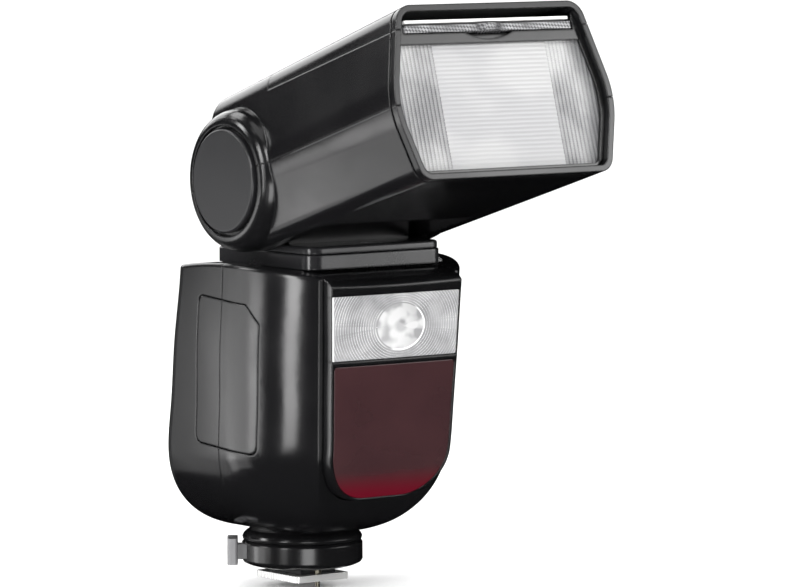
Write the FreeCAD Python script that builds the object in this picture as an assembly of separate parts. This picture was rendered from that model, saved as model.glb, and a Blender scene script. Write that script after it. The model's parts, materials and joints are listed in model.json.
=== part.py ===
"""Speedlight flash: hot-shoe foot, control body with a slide-in battery, swivel neck and a tilting zoom head.

Row frame, millimetres: +Z up, -Y is where the flash points, +X is to the right of someone facing its front.
The origin is the centre of the foot plate's underside, the face that rests in a camera's shoe.
The head is modelled in its own frame (pivot at the origin, light leaving along -Y, level), then tilted up
to its rest angle and carried to the pivot, so a head sub-part is written as (x, reach, height).
"""

import FreeCAD, Part
import math
import os

from FreeCAD import Vector

# ---------------------------------------------------------------- driving dimensions
# foot
PLATE_W, PLATE_L, PLATE_T = 18.6, 20.4, 1.9  # accessory-shoe plate
WAIST_W, WAIST_L = 12.4, 15.0  # between plate and collar, where the shoe's rails run
COLLAR_R, COLLAR_Z0, COLLAR_Z1 = 17.4, 3.6, 11.3
NECK_R = 15.0
BLOCK_Z0 = 3.4  # underside of the disc above the shoe rails

# body
BODY_HALF_W = 36.6
BODY_TAPER = 1.4  # each side narrows by this much from the top to the belly
BODY_FRONT_Y, BODY_CORNER_X = -42.4, 24.3
FLANK_Y = -14.5  # where the rounded flank meets the flat side
BODY_TOP, BODY_BOTTOM = 93.3, 15.0
LEAN = 4.5  # degrees; the seam and the battery lean back this much
FRONT_LEAN = 3.7
BACK_LEAN = 9.3  # degrees; the control face
BACK_TOP_Y, BACK_CORNER_R = 11.8, 5.0
REF_Z = 86.0  # height at which the plan outline is stated
BELLY_Z, BELLY_H, BELLY_P = 46.0, 32.2, 2.5  # the underside is a superellipse below this height
CROWN_R, CROWN_Y = 150.0, -13.0
TOP_EDGE_R = 1.2
WALL = 2.0
PROUD = 3.6  # how far lens, red window and their bezel stand off the shell
GAP = 0.2

# front insert
# half widths are stated at REF_Z; every outline narrows downward by SIDE_SLOPE
SIDE_SLOPE = 0.037
LENS_Z0, LENS_Z1, LENS_HALF_W = 66.9, 85.2, 22.4
RED_Z0, RED_Z1, RED_HALF_W, RED_R = 27.2, 65.3, 21.8, 13.6
INSERT_HALF_W, INSERT_Z0, INSERT_R = 22.8, 26.3, 14.4
INSERT_TOP_Y, SHOULDER_Z, SHOULDER_R = -35.6, 88.4, 4.6  # the glossy shoulder over the lens

# battery
BATT_Y, BATT_Z = -11.8, 61.7
BATT_D, BATT_H, BATT_CHAMFER = 26.6, 42.2, 5.0
BATT_X1 = 25.8
BATT_WALL = 1.3
CELL_R, CELL_L = 9.0, 56.2
SEAM_Y, SEAM_Z = -12.0, 93.1  # a point on the plane between the front and rear shells

# neck
PIVOT_Y, PIVOT_Z = -13.3, 116.6
LAND_R, LAND_Z = 32.4, 92.0  # the sunk round land that the neck's pad turns on
NECK_HALF_W, NECK_HALF_D, NECK_CORNER = 23.6, 23.3, 4.0
BASE_Z0, BASE_Z1, COVER_Z0, COVER_Z1 = 92.1, 96.3, 96.5, 98.6
BARREL_R, BARREL_HALF_W = 16.2, 24.0
AXLE_R = 5.0
SHAFT_R, SHAFT_Z0 = 9.0, 86.0
BUSH_R, BUSH_Z0 = 11.1, 88.6

# head
TILT_REST = 16.25
REACH, BACK_REACH = 85.4, -22.0
HEAD_WALL = 1.8
SPLIT_H, COVER_SEAM_H, COVER_SEAM_L = 0.6, 21.4, 19.0
CHEEK_X, CHEEK_R, DISC_R = 24.7, 20.3, 14.6
WINDOW_H0, WINDOW_H1 = -17.8, 17.6
WINDOW_L0, WINDOW_L1 = 79.6, 82.2
SLOT_H0, SLOT_H1, SLOT_HALF_W = 20.6, 25.6, 29.4
CARD_L0, CARD_L1, CARD_HALF_W = 34.0, 83.6, 28.8
TAIL_L, TAIL_HALF_W = 47.0, 25.6
ZOOM_PLATE_L = 28.0  # where the motor's plate stands
RAIL_X, RAIL_H, RAIL_R, SCREW_H = 24.2, 16.6, 1.25, 16.6
SCREW_PITCH = 1.5  # two starts, so it moves the carriage 3.0 a turn

# control face, in its own frame: x across, y out of the face, z up it
FACE_Z = 66.0
LCD_W, LCD_H, LCD_Z = 46.0, 27.0, 8.0
KEY_Z, KEY_W, KEY_H, KEY_PITCH = -12.5, 9.2, 4.6, 11.6
DIAL_Z, DIAL_R, DIAL_HOLE_R = -29.0, 11.6, 6.2
BUTTON_R = 3.6
ROUND_BUTTONS = {"mode_button": (-21.5, -22.5), "sync_button": (21.5, -22.5), "test_button": (-21.0, -34.0)}
SWITCH = (21.0, -34.0)

# +X side
FLAP_Y, FLAP_Z, FLAP_HALF_W, FLAP_HALF_H = -19.5, 68.0, 6.0, 8.0
HINGE_X, HINGE_Y, HINGE_R = 35.75, 5.5, 0.4  # the flap's hinge pin; Y is measured from the flap's middle
JACK_Y, JACK_Z = -15.4, 48.0
RELEASE_Y, RELEASE_Z = 2.0, 62.0

NODES = {}
FORMS = {}


def node(name, shape):
    """Keeps a sub-part; its file is named after it."""
    NODES[name] = shape


# ---------------------------------------------------------------- small helpers
def box(x0, x1, y0, y1, z0, z1):
    return Part.makeBox(x1 - x0, y1 - y0, z1 - z0, Vector(x0, y0, z0))


def cyl(r, p, axis, length):
    return Part.makeCylinder(r, length, Vector(*p), Vector(*axis))


def ring(r_out, r_in, p, axis, length):
    return cyl(r_out, p, axis, length).cut(cyl(r_in, p, axis, length))


def group(shapes):
    return Part.makeCompound(shapes)


def moved(shape, dx=0.0, dy=0.0, dz=0.0):
    copy = shape.copy()
    copy.translate(Vector(dx, dy, dz))
    return copy


def mirrored_x(shape):
    return shape.mirror(Vector(0, 0, 0), Vector(1, 0, 0))


def turned(shape, degrees, axis, centre=(0, 0, 0)):
    copy = shape.copy()
    copy.rotate(Vector(*centre), Vector(*axis), degrees)
    return copy


def rounded_wire(points, radii, to_3d):
    """A closed wire through 2-D points with its corners rounded; to_3d places each point."""
    n = len(points)
    entry, middle, leave = [], [], []
    for i, (px, py) in enumerate(points):
        ax, ay = points[i - 1]
        bx, by = points[(i + 1) % n]
        ua, ub = math.hypot(ax - px, ay - py), math.hypot(bx - px, by - py)
        da, db = ((ax - px) / ua, (ay - py) / ua), ((bx - px) / ub, (by - py) / ub)
        half = math.acos(max(-1, min(1, da[0] * db[0] + da[1] * db[1]))) / 2
        cut = radii[i] / math.tan(half)
        mx, my = da[0] + db[0], da[1] + db[1]
        m = math.hypot(mx, my)
        depth = radii[i] / math.sin(half) - radii[i]
        entry.append((px + da[0] * cut, py + da[1] * cut))
        leave.append((px + db[0] * cut, py + db[1] * cut))
        middle.append((px + mx / m * depth, py + my / m * depth))
    edges = []
    for i in range(n):
        if radii[i] > 0:
            edges.append(Part.Arc(to_3d(entry[i]), to_3d(middle[i]), to_3d(leave[i])).toShape())
        edges.append(Part.LineSegment(to_3d(leave[i]), to_3d(entry[(i + 1) % n])).toShape())
    return Part.Wire(edges)


def prism_xz(points, radii, y0, y1):
    """An outline drawn in X and Z, extruded along Y."""
    wire = rounded_wire(points, radii, lambda p: Vector(p[0], y0, p[1]))
    return Part.Face(wire).extrude(Vector(0, y1 - y0, 0))


def prism_yz(points, radii, x0, x1):
    wire = rounded_wire(points, radii, lambda p: Vector(x0, p[0], p[1]))
    return Part.Face(wire).extrude(Vector(x1 - x0, 0, 0))


def prism_xy(points, radii, z0, z1):
    wire = rounded_wire(points, radii, lambda p: Vector(p[0], p[1], z0))
    return Part.Face(wire).extrude(Vector(0, 0, z1 - z0))


def rect(x0, x1, y0, y1):
    return [(x0, y0), (x1, y0), (x1, y1), (x0, y1)]


def revolve_x(profile):
    """Turns (radius, x) points about the X axis."""
    points = [Vector(x, 0, r) for r, x in profile]
    face = Part.Face(Part.makePolygon(points + points[:1]))
    return face.revolve(Vector(0, 0, 0), Vector(1, 0, 0), 360)


def revolve_z(profile, x=0.0, y=0.0):
    """Turns (radius, z) points about a vertical axis at x, y."""
    points = [Vector(r, 0, z) for r, z in profile]
    face = Part.Face(Part.makePolygon(points + points[:1]))
    return moved(face.revolve(Vector(0, 0, 0), Vector(0, 0, 1), 360), x, y)


def softened(shape, radius, pick):
    """Fillets the edges that pick accepts, with a smaller radius if the full one can't be made."""
    edges = [e for e in shape.Edges if pick(e)]
    for r in (radius, radius * 0.6, radius * 0.3):
        try:
            made = shape.makeFillet(r, edges)
            if made.isValid() and made.Volume > 0.5 * shape.Volume:
                return made
        except Exception:
            continue
    return shape


def screw(p, axis, head_r=2.0, head_t=1.3, shank_r=1.1, length=8.0):
    """A pan-head screw: axis points from the head's top into the material."""
    a = Vector(*axis)
    a.normalize()
    head = Part.makeCylinder(head_r, head_t, Vector(*p), a)
    shank = Part.makeCylinder(shank_r, length, Vector(*p), a)
    slot_a = Part.makeBox(head_r * 1.3, 0.5, 0.6, Vector(-head_r * 0.65, -0.25, 0))
    slot_b = Part.makeBox(0.5, head_r * 1.3, 0.6, Vector(-0.25, -head_r * 0.65, 0))
    cross = slot_a.fuse(slot_b)
    cross.Placement = FreeCAD.Placement(Vector(*p), FreeCAD.Rotation(Vector(0, 0, 1), a))
    return head.fuse(shank).cut(cross)


# ---------------------------------------------------------------- body form
def belly(z):
    """How much of the full plan is left at height z: 1 above BELLY_Z, shrinking below it."""
    if z >= BELLY_Z:
        return 1.0
    return max(0.0, 1 - ((BELLY_Z - z) / BELLY_H) ** BELLY_P) ** (1 / BELLY_P)


def body_section(z, grow):
    """The plan outline at height z, grown outwards by grow."""
    s = belly(z + min(grow, 0))
    s_front, s_back = 0.15 + 0.85 * s, 0.64 + 0.36 * s
    lean = (REF_Z - z) * math.tan(math.radians(FRONT_LEAN))
    half_w = (BODY_HALF_W - BODY_TAPER * min(1.0, (BODY_TOP - z) / 47)) + grow
    back = BACK_TOP_Y + (BODY_TOP - z) * math.tan(math.radians(BACK_LEAN)) + grow
    corner_x = BODY_CORNER_X + 0.6 * grow - (REF_Z - z) * SIDE_SLOPE
    front = BODY_FRONT_Y + lean - grow
    flank_y, back_r = FLANK_Y + lean, BACK_CORNER_R

    def at(x, y):
        return Vector(x * s, y * (s_front if y < 0 else s_back), z)

    def half(side):
        """Flank arc, side line and back corner arc on one side, from front to back."""
        corner, side_front = (corner_x, front + 0.4), (half_w, flank_y)
        dx, dy = half_w - corner[0], flank_y - corner[1]
        radius = (dx * dx + dy * dy) / (2 * dx)
        mid_angle = math.asin(dy / radius) / 2
        bulge = (half_w - radius * (1 - math.cos(mid_angle)), flank_y - radius * math.sin(mid_angle))
        q = back_r * (1 - math.sqrt(0.5))
        back_arc = [(half_w, back - back_r), (half_w - q, back - q), (half_w - back_r, back)]
        points = [corner, bulge, side_front] + back_arc
        return [at(side * x, y) for x, y in points]

    r, l = half(1), half(-1)
    edges = [
        Part.Arc(l[0], at(0, front), r[0]).toShape(),
        Part.Arc(r[0], r[1], r[2]).toShape(),
        Part.LineSegment(r[2], r[3]).toShape(),
        Part.Arc(r[3], r[4], r[5]).toShape(),
        Part.LineSegment(r[5], l[5]).toShape(),
        Part.Arc(l[5], l[4], l[3]).toShape(),
        Part.LineSegment(l[3], l[2]).toShape(),
        Part.Arc(l[2], l[1], l[0]).toShape(),
    ]
    return Part.Wire(edges)


def body_form(grow):
    """The body's outside (grow 0), the hollow (grow negative) or a slightly larger body (grow positive)."""
    if grow not in FORMS:
        FORMS[grow] = make_body_form(grow)
    return FORMS[grow]


def make_body_form(grow):
    """Lofts the plan sections and cuts the top to the arched crown."""
    low = BODY_BOTTOM - min(grow, 0)
    heights = [low, low + 2.5, low + 6.5, low + 13, low + 20, BELLY_Z, 60, 75, BODY_TOP + 4]
    form = Part.makeLoft([body_section(z, grow) for z in heights], True, False, False, 3)
    top = BODY_TOP + min(grow, 0)
    crown = Part.makeCylinder(CROWN_R, 200, Vector(-100, CROWN_Y, top - CROWN_R), Vector(1, 0, 0))
    return form.common(crown)


def seam_half(front, gap):
    """Everything in front of (or behind) the leaning plane where the two shells meet."""
    side = box(-90, 90, -150, -gap, -80, 150) if front else box(-90, 90, gap, 150, -80, 150)
    side = turned(side, LEAN, (1, 0, 0))
    return moved(side, 0, SEAM_Y - (SEAM_Z - 60) * -math.tan(math.radians(LEAN)), 60)


def battery_prism(grow, x0, x1):
    """The battery's leaning, chamfered cross-section, along X."""
    d, h, c = BATT_D / 2 + grow, BATT_H / 2 + grow, BATT_CHAMFER
    outline = [(-d, -h), (d, -h), (d, h), (-d + c, h), (-d, h - c)]
    shape = prism_yz(outline, [2.6, 2.6, 2.2, 0.8, 0.8], x0, x1)
    return moved(turned(shape, LEAN, (1, 0, 0)), 0, BATT_Y, BATT_Z)


def front_outline(half_w, z0, z1, r_low, r_high):
    """A front view outline whose sides close in downward."""
    def w(z):
        return half_w - (REF_Z - z) * SIDE_SLOPE

    points = [(-w(z0), z0), (w(z0), z0), (w(z1), z1), (-w(z1), z1)]
    return prism_xz(points, [r_low, r_low, r_high, r_high], -80, -20)


def insert_prism(grow):
    """The front insert's outline: it runs up the front and over the rounded top edge."""
    outline = front_outline(INSERT_HALF_W + grow, INSERT_Z0 - grow, 110, INSERT_R, 0)
    depth = box(-60, 60, -81, -24 + grow, 0, 84 - grow).fuse(box(-60, 60, -81, INSERT_TOP_Y + grow, 0, 120))
    return outline.common(depth)


def red_prism(grow):
    return front_outline(RED_HALF_W + grow, RED_Z0 - grow, RED_Z1 + grow, RED_R, 1.0)


def lens_prism(grow):
    return front_outline(LENS_HALF_W + grow, LENS_Z0 - grow, LENS_Z1 + grow, 0.5, 0.5)


def shoulder():
    """The space above and in front of the insert's rounded top edge."""
    front = BODY_FRONT_Y - PROUD - 0.6
    ramp_y, ramp_z = front + 6.6, SHOULDER_Z + 2.5
    points = [(-20, 60), (front, 60), (front, SHOULDER_Z), (ramp_y, ramp_z), (-30, 96), (-20, 96)]
    keep = prism_yz(points, [0, 0, SHOULDER_R, 0, 0, 0], -60, 60)
    return box(-60, 60, -80, -30, 80, 120).cut(keep)


# ---------------------------------------------------------------- foot
def foot():
    plate = prism_xy(rect(-PLATE_W / 2, PLATE_W / 2, -PLATE_L / 2, PLATE_L / 2), [1.2] * 4, 0, PLATE_T)
    pins = [(-2.6, 5.3), (2.6, 5.3), (-3.9, 0.8), (3.9, 0.8)]
    lock = (0, -7.3)
    screws = [(-4.3, -5.2), (4.3, -5.2), (-4.7, 3.4), (4.7, 3.4)]
    for x, y in pins:
        plate = plate.cut(cyl(0.95, (x, y, -1), (0, 0, 1), 4))
    plate = plate.cut(cyl(1.75, (0, 0, -1), (0, 0, 1), 4)).cut(cyl(1.3, (*lock, -1), (0, 0, 1), 4))
    for x, y in screws:
        plate = plate.cut(cyl(0.85, (x, y, -1), (0, 0, 1), 4)).cut(cyl(1.6, (x, y, -1), (0, 0, 1), 2.15))
    node("foot_plate", plate)

    block = box(-WAIST_W / 2, WAIST_W / 2, -WAIST_L / 2, WAIST_L / 2, PLATE_T, BLOCK_Z0 + 0.5)
    block = block.fuse(cyl(11.4, (0, 0, BLOCK_Z0), (0, 0, 1), 9.6 - BLOCK_Z0))
    for x, y in pins:
        block = block.cut(cyl(1.25, (x, y, 0), (0, 0, 1), 8))
    block = block.cut(cyl(2.1, (0, 0, 0), (0, 0, 1), 8)).cut(cyl(1.35, (*lock, 0), (0, 0, 1), 12))
    for x, y in screws:
        block = block.cut(cyl(0.8, (x, y, 0), (0, 0, 1), 7.5))
    node("contact_block", block)
    node("foot_screws", group([screw((x, y, 0.1), (0, 0, 1), 1.45, 1.0, 0.75, 6.6) for x, y in screws]))

    def contact(x, y, r, flange):
        nose = [(0, -1.4), (r * 0.55, -1.25), (r, -0.75)]
        tip = revolve_z(nose + [(r, 2.6), (flange, 2.6), (flange, 3.6), (0, 3.6)])
        return moved(tip, x, y)

    node("contact_pin_center", contact(0, 0, 1.6, 2.0))
    node("contact_pins_small", group([contact(x, y, 0.85, 1.15) for x, y in pins]))
    pin = cyl(0.7, (*lock, -2.0), (0, 0, 1), 2.2).fuse(cyl(1.2, (*lock, 0.1), (0, 0, 1), 8.2))
    node("lock_pin", pin)

    # collar: a bowl-shaped ring with a window at the back for the lever
    under = [(12.9, COLLAR_Z0), (15.6, COLLAR_Z0 + 0.7)]
    under += [(COLLAR_R - 0.5, COLLAR_Z0 + 1.3), (COLLAR_R, COLLAR_Z0 + 2.1)]
    over = [(COLLAR_R, COLLAR_Z1 - 0.8), (COLLAR_R - 0.8, COLLAR_Z1), (11.6, COLLAR_Z1), (11.6, COLLAR_Z0)]
    bowl = revolve_z(under + over)
    lever_window = wedge(10.0, 30.0, 50.0, 168.0, COLLAR_Z0 + 1.7, COLLAR_Z1 - 0.9)
    node("lock_collar", bowl.cut(lever_window))
    arm_angle = 144.0
    arm = box(14.5, 19.8, -1.5, 1.5, COLLAR_Z0 + 1.9, COLLAR_Z0 + 6.4)
    pad = prism_xy(rect(18.6, 21.6, -4.6, 4.6), [1.0, 1.2, 1.2, 1.0], COLLAR_Z0 + 0.6, COLLAR_Z1 + 0.5)
    for y in (-2.7, -0.9, 0.9, 2.7):
        pad = pad.cut(cyl(0.4, (21.6, y, 0), (0, 0, 1), 20))
    arm = turned(arm.fuse(pad), arm_angle, (0, 0, 1))
    hub = ring(15.0, 11.8, (0, 0, COLLAR_Z0 + 1.9), (0, 0, 1), 4.5).common(wedge(10, 30, 128, 160, 0, 20))
    node("lock_lever", hub.fuse(arm))

    spigot = [(0, 9.8), (11.4, 9.8), (11.4, COLLAR_Z1 + 0.2)]
    spigot += [(COLLAR_R - 0.3, COLLAR_Z1 + 0.2), (COLLAR_R - 0.1, 12.3)]
    bevel = [(COLLAR_R - 0.5, 13.1), (16.1, 13.9), (NECK_R + 0.3, 14.4)]
    bevel += [(NECK_R, 15.0), (NECK_R, 25.0), (0, 25.0)]
    flange = revolve_z(spigot + bevel)
    flange = flange.cut(cyl(1.35, (*lock, 9), (0, 0, 1), 1.5)).cut(cyl(6.0, (0, 0, 9), (0, 0, 1), 30))
    node("foot_neck", flange.cut(body_form(0.0)).cut(box(-40, 40, -40, 40, 21.5, 60)))


def wedge(r0, r1, a0, a1, z0, z1):
    """A ring sector between two angles, counted from +X towards +Y."""
    steps = 12
    points = [Vector(0, 0, z0)]
    for i in range(steps + 1):
        a = math.radians(a0 + (a1 - a0) * i / steps)
        points.append(Vector(r1 * math.cos(a), r1 * math.sin(a), z0))
    sector = Part.Face(Part.makePolygon(points + points[:1])).extrude(Vector(0, 0, z1 - z0))
    return sector.cut(cyl(r0, (0, 0, z0 - 1), (0, 0, 1), z1 - z0 + 2))


# ---------------------------------------------------------------- body
def back_face(shape):
    """Carries a shape from the control face's own frame to the leaning back of the body."""
    y = BACK_TOP_Y + (BODY_TOP - FACE_Z) * math.tan(math.radians(BACK_LEAN))
    return moved(turned(shape, BACK_LEAN, (1, 0, 0)), 0, y, FACE_Z)


def key_x(i):
    return (i - 1.5) * KEY_PITCH


def control_openings():
    """Everything the rear shell is cut away for, in the control face's frame."""
    cuts = [prism_xz(rect(-LCD_W / 2, LCD_W / 2, LCD_Z - LCD_H / 2, LCD_Z + LCD_H / 2), [2.0] * 4, -1.4, 3)]
    cuts.append(box(-20, 20, -9, 3, LCD_Z - 10.5, LCD_Z + 10.5))
    for i in range(4):
        x = key_x(i)
        w, h = KEY_W / 2 + GAP, KEY_H / 2 + GAP
        cuts.append(prism_xz(rect(x - w, x + w, KEY_Z - h, KEY_Z + h), [1.4 + GAP] * 4, -9, 3))
    for x, z in ROUND_BUTTONS.values():
        cuts.append(cyl(BUTTON_R + GAP, (x, -9, z), (0, 1, 0), 12))
    cuts.append(cyl(DIAL_R + GAP, (0, -1.2, DIAL_Z), (0, 1, 0), 12))
    cuts.append(cyl(8.6, (0, -9, DIAL_Z), (0, 1, 0), 12))
    x, z = SWITCH
    cuts.append(prism_xz(rect(x - 5.6, x + 5.6, z - 2.4, z + 2.4), [2.3] * 4, -1.2, 3))
    cuts.append(box(x - 3.6, x + 3.6, -9, 1, z - 1.1, z + 1.1))
    return back_face(group(cuts))


def controls():
    w, h = LCD_W / 2 - GAP, LCD_H / 2 - GAP
    glass = prism_xz(rect(-w, w, LCD_Z - h, LCD_Z + h), [1.8] * 4, -1.3, 0.25)
    node("lcd_cover", back_face(glass))
    node("lcd_module", back_face(box(-19.6, 19.6, -4.6, -1.45, LCD_Z - 10.2, LCD_Z + 10.2)))
    board = box(-25, 25, -7.4, -5.9, -33.5, 20.0)
    node("user_board", back_face(board))
    for i in range(4):
        x, w, h = key_x(i), KEY_W / 2, KEY_H / 2
        cap = prism_xz(rect(x - w, x + w, KEY_Z - h, KEY_Z + h), [1.4] * 4, -1.8, 1.1)
        cap = softened(cap, 0.45, lambda e: e.BoundBox.YMin > 1.0)
        flange = box(x - w - 0.7, x + w + 0.7, -3.4, -2.4, KEY_Z - h - 0.7, KEY_Z + h + 0.7)
        stem = box(x - w + 0.4, x + w - 0.4, -2.5, -1.7, KEY_Z - h + 0.4, KEY_Z + h - 0.4)
        node(f"soft_key_{i + 1}", back_face(cap.fuse(stem).fuse(flange)))
    for name, (x, z) in ROUND_BUTTONS.items():
        cap = cyl(BUTTON_R, (x, -3.6, z), (0, 1, 0), 4.8)
        cap = softened(cap, 0.5, lambda e: e.BoundBox.YMin > 1.1)
        flange = cyl(BUTTON_R + 0.9, (x, -4.5, z), (0, 1, 0), 1.0)
        node(name, back_face(cap.fuse(flange)))

    dial = cyl(DIAL_R, (0, -0.9, DIAL_Z), (0, 1, 0), 2.9)
    dial = softened(dial, 0.7, lambda e: e.BoundBox.YMin > 1.9)
    dial = dial.fuse(cyl(8.2, (0, -3.2, DIAL_Z), (0, 1, 0), 2.4))
    dial = dial.cut(cyl(DIAL_HOLE_R, (0, -4, DIAL_Z), (0, 1, 0), 8))
    grips, grip_r = 40, DIAL_R + 0.05
    for i in range(grips):
        a = 2 * math.pi * i / grips
        dial = dial.cut(cyl(0.42, (grip_r * math.cos(a), 0.4, DIAL_Z + grip_r * math.sin(a)), (0, 1, 0), 3))
    node("select_dial", back_face(dial))
    cap = cyl(DIAL_HOLE_R - 0.2, (0, -3.0, DIAL_Z), (0, 1, 0), 4.6)
    node("set_button", back_face(softened(cap, 0.6, lambda e: e.BoundBox.YMin > 1.5)))

    x, z = SWITCH
    knob = prism_xz(rect(x - 3.4, x + 0.6, z - 2.0, z + 2.0), [1.2] * 4, -1.0, 1.2)
    for k in (-2.3, -1.4, -0.5):
        knob = knob.cut(box(x + k - 0.2, x + k + 0.2, 0.9, 2, z - 3, z + 3))
    knob = knob.fuse(box(x - 2.4, x - 0.4, -3.9, -0.9, z - 0.8, z + 0.8))
    knob = knob.fuse(box(x - 3.4, x + 0.6, -4.7, -3.8, z - 2.0, z + 2.0))
    node("power_switch", back_face(knob))


def shells():
    outer = softened(body_form(0.0), TOP_EDGE_R, lambda e: e.BoundBox.ZMin > BODY_TOP - 4)
    inner, larger = body_form(-WALL), body_form(PROUD)
    land = cyl(LAND_R + 1.2, (0, PIVOT_Y, LAND_Z - WALL), (0, 0, 1), WALL)
    boss = cyl(14.0, (0, PIVOT_Y, BUSH_Z0), (0, 0, 1), LAND_Z - BUSH_Z0)
    hull = outer.cut(inner).fuse(land.common(outer)).fuse(boss)
    hull = hull.cut(cyl(LAND_R, (0, PIVOT_Y, LAND_Z), (0, 0, 1), 10))
    hull = hull.cut(cyl(BUSH_R + 0.1, (0, PIVOT_Y, 80), (0, 0, 1), 20))
    hull = hull.cut(insert_prism(GAP)).cut(battery_prism(GAP, -60, 0))
    hull = hull.cut(cyl(7.0, (0, 0, 0), (0, 0, 1), 24))
    ports = side_ports_cut()
    seam_gap = 0.1
    front = hull.common(seam_half(True, seam_gap)).cut(ports)
    rear = hull.common(seam_half(False, seam_gap)).cut(ports).cut(control_openings())
    node("front_shell", biggest(front))
    node("rear_shell", biggest(rear))

    frame = larger.common(insert_prism(0)).cut(body_form(-1.2)).cut(shoulder())
    frame = frame.cut(lens_prism(0.15)).cut(red_prism(0.15))
    frame = frame.fuse(front_ledge())
    node("front_bezel", biggest(frame))
    lens = larger.common(lens_prism(0).common(insert_prism(-0.05))).cut(body_form(0.9))
    node("lamp_lens", biggest(lens))
    red = larger.common(red_prism(0).common(insert_prism(-0.05))).cut(body_form(1.5))
    node("red_window", biggest(red))


def front_ledge():
    """A rim behind the red window that it is glued to."""
    ring_cut = red_prism(0.8).cut(red_prism(-1.6)).common(box(-60, 60, -80, -26, 0, 120))
    return body_form(1.4).common(ring_cut).cut(body_form(-1.2))


def biggest(shape):
    """The largest solid, dropping slivers that a cut can leave."""
    return max(shape.Solids, key=lambda s: s.Volume)


def leaning(shape, y, z):
    """Leans a shape back like the seam and puts it on the +X side at (y, z)."""
    return moved(turned(shape, LEAN, (1, 0, 0)), 0, y, z)


def flap_prism(half_w, half_h):
    return leaning(prism_yz(rect(-half_w, half_w, -half_h, half_h), [1.5] * 4, 20, 60), FLAP_Y, FLAP_Z)


def hinge_bar(r, half_length):
    """The flap's hinge pin, or the round pocket it turns in."""
    return leaning(cyl(r, (HINGE_X, HINGE_Y, -half_length), (0, 0, 1), 2 * half_length), FLAP_Y, FLAP_Z)


def side_ports_cut():
    """Openings in the +X side for the port flap, the sync socket and the battery release."""
    flap = flap_prism(FLAP_HALF_W + 0.3, FLAP_HALF_H + GAP).cut(body_form(-1.4))
    knuckle = hinge_bar(HINGE_R + 0.1, FLAP_HALF_H + 1.7)
    swing = hinge_bar(1.1, FLAP_HALF_H + GAP)
    usb = leaning(box(20, 60, -2.1, 2.1, -5.0, 5.0), FLAP_Y, FLAP_Z)
    jack = cyl(3.2, (20, JACK_Y, JACK_Z), (1, 0, 0), 40)
    release = leaning(prism_yz(rect(-4.0, 4.0, -6.5, 6.5), [2.0] * 4, 20, 60), RELEASE_Y, RELEASE_Z)
    return group([flap.fuse(knuckle).fuse(swing).fuse(usb), jack, release])


def side_parts():
    flap = flap_prism(FLAP_HALF_W, FLAP_HALF_H).common(body_form(0.0)).cut(body_form(-1.2))
    node("port_cover", biggest(flap.fuse(hinge_bar(HINGE_R, FLAP_HALF_H + 1.5))))
    usb = box(28.6, 32.6, -1.8, 1.8, -4.6, 4.6)
    usb = usb.cut(prism_yz(rect(-1.3, 1.3, -4.2, 4.2), [1.2] * 4, 29.4, 40))
    usb = usb.fuse(box(29.0, 31.8, -0.35, 0.35, -3.3, 3.3))
    node("usb_socket", leaning(usb, FLAP_Y, FLAP_Z))
    jack = cyl(3.0, (30.2, JACK_Y, JACK_Z), (1, 0, 0), 8).common(body_form(-0.1))
    jack = jack.cut(cyl(1.25, (30.0, JACK_Y, JACK_Z), (1, 0, 0), 20))
    node("sync_socket", jack.fuse(cyl(3.0, (29.4, JACK_Y, JACK_Z), (1, 0, 0), 1.0)))
    release = prism_yz(rect(-3.8, 3.8, -6.3, 6.3), [1.8] * 4, 32.4, 60)
    release = leaning(release, RELEASE_Y, RELEASE_Z).common(body_form(0.0))
    for k in (-3, -1.5, 0, 1.5, 3):
        release = release.cut(leaning(box(35.3, 60, -3, 3, k - 0.25, k + 0.25), RELEASE_Y, RELEASE_Z))
    flange = leaning(prism_yz(rect(-4.6, 4.6, -7.1, 7.1), [1.8] * 4, 32.4, 33.1), RELEASE_Y, RELEASE_Z)
    node("battery_release", biggest(release.fuse(flange)))


def battery():
    whole = battery_prism(-0.1, -60, BATT_X1).common(body_form(0.0))
    hollow = battery_prism(-BATT_WALL - 0.1, -60, BATT_X1 - BATT_WALL).common(body_form(-BATT_WALL))
    case = whole.cut(hollow)
    node("battery_case_front", biggest(case.common(seam_half(True, 0.06))))
    node("battery_case_rear", biggest(case.common(seam_half(False, 0.06))))
    cells = []
    cell_x1 = BATT_X1 - BATT_WALL - 0.6
    for k in (-1, 1):
        cell = Part.makeCylinder(CELL_R, CELL_L, Vector(cell_x1 - CELL_L, 0, k * 9.4), Vector(1, 0, 0))
        tip = Part.makeCylinder(3.0, 0.4, Vector(cell_x1, 0, k * 9.4), Vector(1, 0, 0))
        cells.append(moved(turned(cell.fuse(tip), LEAN, (1, 0, 0)), 0, BATT_Y, BATT_Z))
    node("battery_cells", group(cells))
    bay = battery_prism(1.5, -34.0, BATT_X1 + 2.4).cut(battery_prism(GAP, -60, BATT_X1 + 0.9))
    bay = bay.common(body_form(-WALL - 0.1))
    node("battery_bay", biggest(bay))


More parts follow.
